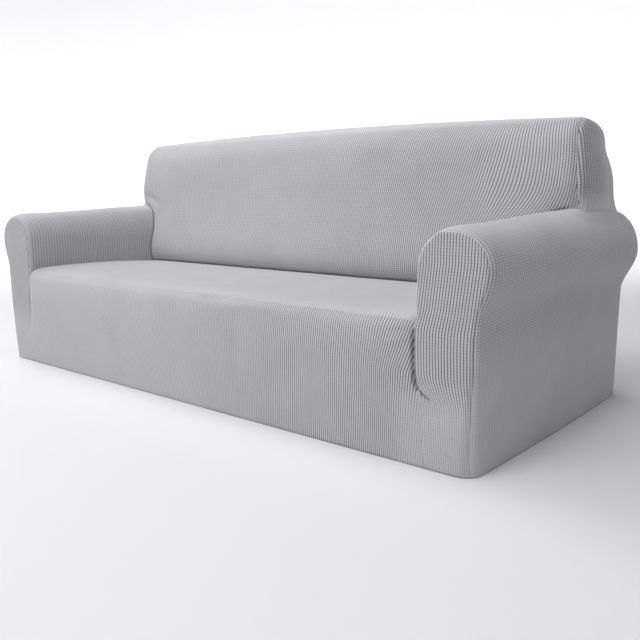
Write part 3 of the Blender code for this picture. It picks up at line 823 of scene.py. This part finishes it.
def finish_shape(skin, shape):
    """Round the cloth where it turns at a seam, draw it in along the seams, and crease it."""
    skin.normal_update()
    seams = {kind: [] for kind in SEAM_DRAWS}
    for vert in skin.verts:
        kind = seam_kind(vert)
        if kind:
            seams[kind].append(vert)
    for kind, seam in seams.items():
        if SEAM_DRAWS[kind].radius:
            round_seam(skin, kind, seam)
    verts = list(skin.verts)
    places = np.array([vert.co for vert in verts])
    normals = np.array([vert.normal for vert in verts])
    push = np.zeros(len(verts))
    for kind, draw in SEAM_DRAWS.items():
        if not draw.depth and not draw.puff:
            continue
        tree = seam_tree(seams[kind])
        reach = draw.reach * PUFF_END
        for number, vert in enumerate(verts):
            foot, _, distance = tree.find(vert.co)
            if distance > reach:
                continue
            uneven = noise.noise(foot / GATHER_LENGTH)
            fade = smooth(1.0 - distance / reach)
            puff = draw.puff * (1.0 + draw.gather * uneven) * math.exp(
                -((distance - draw.reach) / (draw.reach * PUFF_WIDTH)) ** 2) * fade
            groove = draw.depth * math.exp(-(distance / draw.width) ** 2) * shape.seam_depth
            push[number] += puff - groove
    for fold in FOLDS:
        push += fold.rise / 1000.0 * line_share(places, fold)
    # shade painted along the darts' creases, kept in each point for the knit to darken its colour
    painted_shade = np.max([dart_shade.shade * line_share(places, dart_shade) for dart_shade in DART_SHADES], axis=0)
    layer = skin.verts.layers.float["dart_shade"]
    for number, vert in enumerate(verts):
        vert[layer] = painted_shade[number]
        move = Vector(normals[number]) * float(push[number])
        if vert.co.z < FLOOR_TOUCH:
            move.z = 0.0
        vert.co += move
        vert.co.z = max(vert.co.z, 0.0)


def line_share(places, line):
    """How much of a fold, or of the shade painted along a dart, each point gets: all of it on its
    line, and none far from the line or at the line's ends."""
    path = np.array(line.path) / 1000.0
    steps = np.linalg.norm(path[1:] - path[:-1], axis=1)
    nearest = np.full(len(places), 1e9)
    reached = np.zeros(len(places))
    run = 0.0
    for a, b, step in zip(path[:-1], path[1:], steps):
        way = (b - a) / step
        t = np.clip((places - a) @ way, 0.0, step)
        distance = np.linalg.norm(places - a - t[:, None] * way, axis=1)
        closer = distance < nearest
        nearest[closer] = distance[closer]
        reached[closer] = run + t[closer]
        run += step
    grown = np.clip(np.minimum(reached, run - reached) * 1000.0 / line.fade, 0.0, 1.0)
    grown = grown * grown * (3.0 - 2.0 * grown)
    return grown * np.exp(-((nearest * 1000.0 / line.width) ** 2))


SKIN = {}


def laid_skin(context):
    """The welded skin, laid once and kept until the last piece has been cut from it."""
    if "skin" not in SKIN:
        SKIN["skin"] = lay_skin(context.scene.slipcover_shape)
    return SKIN["skin"]


def cut_piece(context, name):
    """Cut one piece of cloth from the skin and make it a sheet with a thickness."""
    skin = laid_skin(context)
    number = PIECES.index(name)
    cloth = skin.copy()
    others = [face for face in cloth.faces if face.material_index != number]
    bmesh.ops.delete(cloth, geom=others, context="FACES")
    for face in cloth.faces:
        face.material_index = 0
        face.smooth = True
    mesh = bpy.data.meshes.new(name + "_cloth")
    cloth.to_mesh(mesh)
    cloth.free()
    piece = bpy.data.objects.new(name + "_cloth", mesh)
    context.scene.collection.objects.link(piece)
    mesh.materials.append(checked_knit(context.scene.slipcover_knit))
    wall = piece.modifiers.new("thickness", "SOLIDIFY")
    wall.thickness = context.scene.slipcover_shape.thickness
    wall.offset = -1.0
    wall.use_even_offset = False
    wall.use_quality_normals = True
    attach(piece, "root")
    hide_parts(name)
    return piece


def cut_pieces(context, *names):
    for name in names:
        cut_piece(context, name)
    return {"FINISHED"}


# ---------------------------------------------------------------- the knit's finish
def math_node(tree, operation, first, second=None):
    node = tree.nodes.new("ShaderNodeMath")
    node.operation = operation
    for socket, value in zip(node.inputs, (first, second)):
        if value is None:
            continue
        if isinstance(value, (int, float)):
            socket.default_value = value
        else:
            tree.links.new(value, socket)
    return node.outputs[0]


def step_node(tree, value, low, high, start=0.0, end=1.0):
    node = tree.nodes.new("ShaderNodeMapRange")
    node.interpolation_type = "SMOOTHSTEP"
    tree.links.new(value, node.inputs["Value"])
    node.inputs["From Min"].default_value = low
    node.inputs["From Max"].default_value = high
    node.inputs["To Min"].default_value = start
    node.inputs["To Max"].default_value = end
    return node.outputs["Result"]


def blend_node(tree, share, first, second):
    node = tree.nodes.new("ShaderNodeMix")
    node.data_type = "RGBA"
    tree.links.new(share, node.inputs["Factor"])
    for socket, value in ((node.inputs["A"], first), (node.inputs["B"], second)):
        if isinstance(value, bpy.types.NodeSocket):
            tree.links.new(value, socket)
        else:
            socket.default_value = value
    return node.outputs["Result"]


def noise_node(tree, scale, detail):
    place = tree.nodes.new("ShaderNodeTexCoord")
    node = tree.nodes.new("ShaderNodeTexNoise")
    node.inputs["Scale"].default_value = scale
    node.inputs["Detail"].default_value = detail
    tree.links.new(place.outputs["Object"], node.inputs["Vector"])
    return node.outputs["Fac"]


def attribute_node(tree, name):
    node = tree.nodes.new("ShaderNodeAttribute")
    node.attribute_name = name
    return node.outputs["Fac"]


def checked_knit(look):
    """Ribs along V, parted by dark grooves and crossed by rows, one stitch to each UV unit.
    How clearly both show is in the cloth's attributes "ribs" and "rows"; a third attribute holds
    the shade painted along the darts' creases, which darkens the cloth towards the grooves' colour."""
    known = bpy.data.materials.get("grey_checked_knit")
    if known:
        return known
    material = bpy.data.materials.new("grey_checked_knit")
    material.use_nodes = True
    tree = material.node_tree
    shader = tree.nodes["Principled BSDF"]
    uv = tree.nodes.new("ShaderNodeUVMap")
    uv.uv_map = "knit"
    stitch = tree.nodes.new("ShaderNodeSeparateXYZ")
    tree.links.new(uv.outputs["UV"], stitch.inputs["Vector"])
    across = math_node(tree, "PINGPONG", stitch.outputs["X"], 0.5)
    lengthwise = math_node(tree, "PINGPONG", stitch.outputs["Y"], 0.5)
    groove = math_node(tree, "MULTIPLY", step_node(tree, across, *STITCH_EDGE),
                       attribute_node(tree, "ribs"))
    gap = step_node(tree, lengthwise, *STITCH_EDGE, 0.0, look.row_depth)
    gap = math_node(tree, "MULTIPLY", gap, attribute_node(tree, "rows"))
    stitch_top = math_node(tree, "MULTIPLY", math_node(tree, "SUBTRACT", 1.0, groove),
                           math_node(tree, "SUBTRACT", 1.0, gap))
    # shade painted along the darts' creases darkens the stitches towards the grooves' colour, and
    # lowers their relief
    stitch_top = math_node(tree, "MULTIPLY", stitch_top,
                           math_node(tree, "SUBTRACT", 1.0, attribute_node(tree, "dart_shade")))
    groove_and_dart_shade = math_node(tree, "SUBTRACT", 1.0, stitch_top)

    mottle = noise_node(tree, MOTTLE_SCALE, 3.0)
    fibre = noise_node(tree, FIBRE_SCALE, 2.0)
    colour = blend_node(tree, groove_and_dart_shade, tuple(look.rib_colour) + (1.0,), tuple(look.groove_and_dart_shade_colour) + (1.0,))
    uneven = step_node(tree, mottle, 0.25, 0.75, 1.0 - MOTTLE_SHADE, 1.0 + MOTTLE_SHADE)
    fuzz = step_node(tree, fibre, 0.2, 0.8, 1.0 - FIBRE_SHADE, 1.0 + FIBRE_SHADE)
    shade = math_node(tree, "MULTIPLY", uneven, fuzz)
    tinted = tree.nodes.new("ShaderNodeVectorMath")
    tinted.operation = "SCALE"
    tree.links.new(colour, tinted.inputs[0])
    tree.links.new(shade, tinted.inputs["Scale"])
    tree.links.new(tinted.outputs["Vector"], shader.inputs["Base Color"])

    height = math_node(tree, "ADD", stitch_top, math_node(tree, "MULTIPLY", fibre, FIBRE_RELIEF))
    bump = tree.nodes.new("ShaderNodeBump")
    bump.inputs["Strength"].default_value = look.relief
    bump.inputs["Distance"].default_value = look.relief_height
    tree.links.new(height, bump.inputs["Height"])
    tree.links.new(bump.outputs["Normal"], shader.inputs["Normal"])
    shader.inputs["Roughness"].default_value = 0.92
    shader.inputs["Sheen Weight"].default_value = look.sheen
    shader.inputs["Sheen Roughness"].default_value = 0.5
    shader.inputs["Specular IOR Level"].default_value = 0.25
    return material


# ---------------------------------------------------------------- the add-on
class SlipcoverShape(bpy.types.PropertyGroup):
    thickness: bpy.props.FloatProperty(
        name="Cloth Thickness", description="Thickness of the knitted cloth", default=0.002,
        min=0.001, max=0.003, unit="LENGTH")
    seam_depth: bpy.props.FloatProperty(
        name="Seam Depth", description="How deep the seams draw the cloth in", default=1.0,
        min=0.0, max=2.0, subtype="FACTOR")


class SlipcoverKnit(bpy.types.PropertyGroup):
    rib_colour: bpy.props.FloatVectorProperty(
        name="Rib Colour", description="Colour of the raised ribs", default=(0.530, 0.532, 0.552),
        subtype="COLOR", min=0.0, max=1.0)
    # the grooves' colour, which is also painted along the darts' creases as their shade
    groove_and_dart_shade_colour: bpy.props.FloatVectorProperty(
        name="Groove Colour", description="Colour of the grooves between the ribs",
        default=(0.130, 0.130, 0.142), subtype="COLOR", min=0.0, max=1.0)
    row_depth: bpy.props.FloatProperty(
        name="Row Depth", description="How much of the grooves' colour lies between two rows",
        default=0.45, min=0.0, max=1.0, subtype="FACTOR")
    relief: bpy.props.FloatProperty(
        name="Relief", description="Strength of the ribs' relief", default=0.35,
        min=0.0, max=1.0, subtype="FACTOR")
    relief_height: bpy.props.FloatProperty(
        name="Relief Height", description="Height of the ribs", default=0.0012,
        min=0.0, max=0.005, unit="LENGTH")
    sheen: bpy.props.FloatProperty(
        name="Sheen", description="Soft shine of the brushed fibres at a low angle", default=0.25,
        min=0.0, max=1.0, subtype="FACTOR")


class SlipcoverStage(bpy.types.PropertyGroup):
    floor_colour: bpy.props.FloatVectorProperty(
        name="Floor Colour", description="Colour of the plain floor and its raised rim",
        default=(0.77, 0.77, 0.79), subtype="COLOR", min=0.0, max=1.0)
    rim_light: bpy.props.FloatProperty(
        name="Rim Light", description="Glow of the floor's far side and its rim", default=0.47,
        min=0.0, max=2.0)
    front_power: bpy.props.FloatProperty(
        name="Front Light", description="Power of the large light high in front",
        default=186.0, min=0.0, unit="POWER")
    left_power: bpy.props.FloatProperty(
        name="Left Light", description="Power of the large light above the left arm",
        default=152.0, min=0.0, unit="POWER")
    top_power: bpy.props.FloatProperty(
        name="Top Light", description="Power of the large cool light overhead",
        default=68.0, min=0.0, unit="POWER")
    key_power: bpy.props.FloatProperty(
        name="Key Light", description="Power of the nearer light above the front left",
        default=40.0, min=0.0, unit="POWER")


class SLIPCOVER_OT_front(bpy.types.Operator):
    """Lay the front piece: seat, skirt and both arm fronts"""
    bl_idname = "slipcover.front"
    bl_label = "Seat, Skirt and Arm Fronts"
    bl_options = {"REGISTER", "UNDO"}

    def execute(self, context):
        return cut_pieces(context, "seat_skirt_and_arm_fronts")


class SLIPCOVER_OT_arms(bpy.types.Operator):
    """Lay the pieces over the two arms"""
    bl_idname = "slipcover.arms"
    bl_label = "Arms"
    bl_options = {"REGISTER", "UNDO"}

    def execute(self, context):
        return cut_pieces(context, "arm_right", "arm_left")


class SLIPCOVER_OT_inside_back(bpy.types.Operator):
    """Lay the inside back with the top of the back"""
    bl_idname = "slipcover.inside_back"
    bl_label = "Inside Back"
    bl_options = {"REGISTER", "UNDO"}

    def execute(self, context):
        return cut_pieces(context, "inside_back")


class SLIPCOVER_OT_back_ends(bpy.types.Operator):
    """Lay the two ends of the back"""
    bl_idname = "slipcover.back_ends"
    bl_label = "Back Ends"
    bl_options = {"REGISTER", "UNDO"}

    def execute(self, context):
        return cut_pieces(context, "back_end_right", "back_end_left")


class SLIPCOVER_OT_outside_back(bpy.types.Operator):
    """Lay the outside back"""
    bl_idname = "slipcover.outside_back"
    bl_label = "Outside Back"
    bl_options = {"REGISTER", "UNDO"}

    def execute(self, context):
        return cut_pieces(context, "outside_back")


def add_light(context, light, power):
    data = bpy.data.lights.new(light.name, "AREA")
    data.energy = power
    data.shape = "DISK"
    data.size = light.size
    data.color = light.colour
    lamp = bpy.data.objects.new(light.name, data)
    lamp.location = light.place
    aim = Vector(LIGHTS_AIM) - Vector(light.place)
    lamp.rotation_euler = aim.to_track_quat("-Z", "Y").to_euler()
    lamp.visible_camera = False
    context.scene.collection.objects.link(lamp)


class SLIPCOVER_OT_stage(bpy.types.Operator):
    """Make the pale floor with its raised rim, the soft light and the camera"""
    bl_idname = "slipcover.stage"
    bl_label = "Stage"
    bl_options = {"REGISTER", "UNDO"}

    def execute(self, context):
        look = context.scene.slipcover_stage
        bowl = bmesh.new()
        bmesh.ops.create_circle(bowl, cap_ends=True, segments=FLOOR_SIDES, radius=FLOOR_RADIUS)
        rim = [edge for edge in bowl.edges if edge.is_boundary]
        for grow, rise in RIM_RINGS:
            made = bmesh.ops.extrude_edge_only(bowl, edges=rim)["geom"]
            ring = [item for item in made if isinstance(item, bmesh.types.BMVert)]
            bmesh.ops.scale(bowl, verts=ring, vec=(grow, grow, 1.0))
            bmesh.ops.translate(bowl, verts=ring, vec=(0.0, 0.0, rise))
            rim = [item for item in made if isinstance(item, bmesh.types.BMEdge)]
        bmesh.ops.translate(bowl, verts=bowl.verts, vec=(0.0, 0.0, FLOOR_LEVEL))
        bmesh.ops.recalc_face_normals(bowl, faces=bowl.faces)
        mesh = bpy.data.meshes.new("floor")
        bowl.to_mesh(mesh)
        bowl.free()
        mesh.shade_smooth()
        floor = bpy.data.objects.new("floor", mesh)
        context.scene.collection.objects.link(floor)
        mesh.materials.append(floor_finish(look))

        world = bpy.data.worlds.new("soft_light")
        world.use_nodes = True
        backdrop = world.node_tree.nodes["Background"]
        backdrop.inputs["Color"].default_value = (0.0, 0.0, 0.0, 1.0)
        context.scene.world = world
        powers = (look.front_power, look.left_power, look.key_power, look.top_power)
        for light, power in zip(LIGHTS, powers):
            add_light(context, light, power)

        lens = bpy.data.cameras.new("camera")
        lens.sensor_width = SENSOR
        lens.lens = SENSOR * FOCAL_PIXELS / PICTURE_PIXELS
        camera = bpy.data.objects.new("camera", lens)
        turn = Matrix.Rotation(CAMERA_TURN, 4, "Z")
        tilt = Matrix.Rotation(math.pi / 2.0 - CAMERA_DOWN, 4, "X")
        roll = Matrix.Rotation(CAMERA_ROLL, 4, "Z")
        camera.matrix_world = Matrix.Translation(CAMERA_PLACE) @ turn @ tilt @ roll
        context.scene.collection.objects.link(camera)
        context.scene.camera = camera
        context.scene.view_settings.view_transform = "Standard"
        return {"FINISHED"}


def floor_finish(look):
    material = bpy.data.materials.new("floor_finish")
    material.use_nodes = True
    tree = material.node_tree
    shader = tree.nodes["Principled BSDF"]
    shader.inputs["Base Color"].default_value = tuple(look.floor_colour) + (1.0,)
    shader.inputs["Roughness"].default_value = 0.9
    shader.inputs["Emission Color"].default_value = (1.0, 1.0, 1.0, 1.0)
    place = tree.nodes.new("ShaderNodeTexCoord")
    far = tree.nodes.new("ShaderNodeVectorMath")
    far.operation = "DOT_PRODUCT"
    far.inputs[1].default_value = (-math.sin(CAMERA_TURN), math.cos(CAMERA_TURN), 0.0)
    tree.links.new(place.outputs["Object"], far.inputs[0])
    glow = step_node(tree, far.outputs["Value"], *GLOW_REACH, 0.0, look.rim_light)
    tree.links.new(glow, shader.inputs["Emission Strength"])
    return material


class SLIPCOVER_PT_panel(bpy.types.Panel):
    bl_label = "Slipcover"
    bl_idname = "SLIPCOVER_PT_panel"
    bl_space_type = "VIEW_3D"
    bl_region_type = "UI"
    bl_category = "Slipcover"

    def draw(self, context):
        for title, group in (("Cloth", context.scene.slipcover_shape),
                             ("Knit", context.scene.slipcover_knit),
                             ("Stage", context.scene.slipcover_stage)):
            box = self.layout.box()
            box.label(text=title)
            for name in group.__annotations__:
                box.prop(group, name)
        for operator in OPERATORS:
            self.layout.operator(operator.bl_idname)


OPERATORS = (SLIPCOVER_OT_front, SLIPCOVER_OT_arms, SLIPCOVER_OT_inside_back,
             SLIPCOVER_OT_back_ends, SLIPCOVER_OT_outside_back, SLIPCOVER_OT_stage)
CLASSES = (SlipcoverShape, SlipcoverKnit, SlipcoverStage) + OPERATORS + (SLIPCOVER_PT_panel,)


def register():
    for cls in CLASSES:
        bpy.utils.register_class(cls)
    bpy.types.Scene.slipcover_shape = bpy.props.PointerProperty(type=SlipcoverShape)
    bpy.types.Scene.slipcover_knit = bpy.props.PointerProperty(type=SlipcoverKnit)
    bpy.types.Scene.slipcover_stage = bpy.props.PointerProperty(type=SlipcoverStage)


def unregister():
    del bpy.types.Scene.slipcover_stage
    del bpy.types.Scene.slipcover_knit
    del bpy.types.Scene.slipcover_shape
    for cls in reversed(CLASSES):
        bpy.utils.unregister_class(cls)


def main():
    register()
    bpy.ops.slipcover.front()
    bpy.ops.slipcover.arms()
    bpy.ops.slipcover.inside_back()
    bpy.ops.slipcover.back_ends()
    bpy.ops.slipcover.outside_back()
    SKIN.pop("skin").free()
    bpy.ops.slipcover.stage()


if __name__ == "__main__":
    main()
